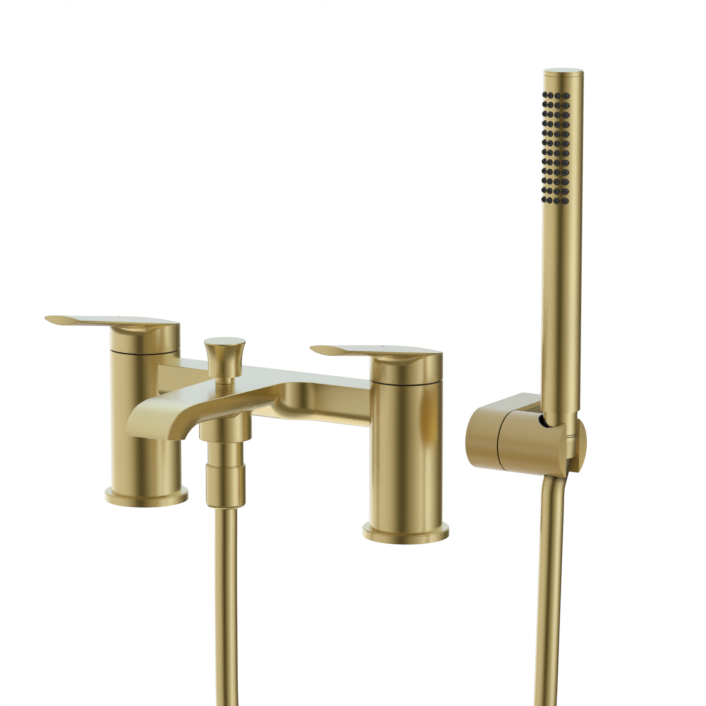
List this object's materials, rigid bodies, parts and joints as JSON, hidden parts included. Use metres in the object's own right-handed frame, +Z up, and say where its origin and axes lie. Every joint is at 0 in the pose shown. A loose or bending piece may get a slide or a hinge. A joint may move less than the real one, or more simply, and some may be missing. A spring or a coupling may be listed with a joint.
{
  "type": "bath shower mixer",
  "caption": "Deck-mounted bath shower mixer in brushed brass: bridge between two lever pillars, flat spout, pull-up diverter, hose, pencil handset and swivelling wall holder.",
  "frame": {"origin": "on the deck surface, midway between the two pillar inlets", "axes": "+X to the cold pillar, -Y towards the user along the spout, +Z up"},
  "size_m": [0.3201, 0.1735, 0.546],
  "materials": {
    "brass": "fine brushed, satin",
    "inner_brass": "plain turned",
    "rubber": "matt black",
    "nozzle_rubber": "matt dark grey silicone",
    "plastic": "matt black",
    "ceramic": null,
    "hose": "smooth, metallic brass tone",
    "red_index": "gloss enamel",
    "blue_index": "gloss enamel"
  },
  "bodies": {
    "mixer": {"bridge": "brass", "spout": "brass", "diverter_body": "brass", "diverter_bush": "brass", "hose_nipple": "brass", "mixer_hose_nut": "brass", "bracket_cover": "brass", "bracket_core": "brass", "hot_pillar": "brass", "hot_flange": "brass", "cold_pillar": "brass", "cold_flange": "brass", "mixer_ferrule": "inner_brass", "cover_screw": "inner_brass", "hot_cartridge": "inner_brass", "cold_cartridge": "inner_brass", "nipple_washer": "rubber", "hose_tie": "rubber", "hot_gasket": "rubber", "hot_seat_seal": "rubber", "cold_gasket": "rubber", "cold_seat_seal": "rubber", "flow_straightener": "plastic", "hot_slip_ring": "plastic", "cold_slip_ring": "plastic", "hot_fixed_disc": "ceramic", "cold_fixed_disc": "ceramic", "hose_mixer_run": "hose", "hose_coil": "hose", "hose_handset_run": "hose"},
    "hot_lever": {"hot_lever": "brass", "hot_hub": "plastic", "hot_index": "red_index", "hot_grub_screw": "plastic", "hot_spindle": "inner_brass", "hot_turning_disc": "ceramic"},
    "cold_lever": {"cold_lever": "brass", "cold_hub": "plastic", "cold_index": "blue_index", "cold_grub_screw": "plastic", "cold_spindle": "inner_brass", "cold_turning_disc": "ceramic"},
    "diverter": {"diverter_knob": "brass", "diverter_rod": "inner_brass", "diverter_disc": "inner_brass", "diverter_seals": "rubber"},
    "holder": {"bracket_holder": "brass", "pivot_bolt": "inner_brass", "friction_washer": "plastic"},
    "handset": {"handset_tube": "brass", "handset_cap": "brass", "spray_carrier": "plastic", "nozzle_strip": "nozzle_rubber", "handset_neck": "brass", "inlet_washer": "rubber", "cone_nut": "brass", "handset_ferrule": "inner_brass"}
  },
  "joints": [
    {"name": "hot_turn", "type": "hinge", "parent": "mixer", "child": "hot_lever", "pos_m": [-0.09, 0, 0.1], "axis": [0, 0, 1], "range_deg": [-90, 0]},
    {"name": "cold_turn", "type": "hinge", "parent": "mixer", "child": "cold_lever", "pos_m": [0.09, 0, 0.1], "axis": [0, 0, 1], "range_deg": [0, 90]},
    {"name": "diverter_pull", "type": "slide", "parent": "mixer", "child": "diverter", "axis": [0, 0, 1], "range_m": [0, 0.0075]},
    {"name": "holder_tilt", "type": "hinge", "parent": "mixer", "child": "holder", "pos_m": [0.165, -0.008, 0.0646], "axis": [1, 0, 0], "range_deg": [-5, 35], "deforming": ["hose_handset_run"]},
    {"name": "handset_lift", "type": "slide", "parent": "holder", "child": "handset", "axis": [0, 0, 1], "range_m": [0, 0.03], "deforming": ["hose_handset_run"]}
  ]
}
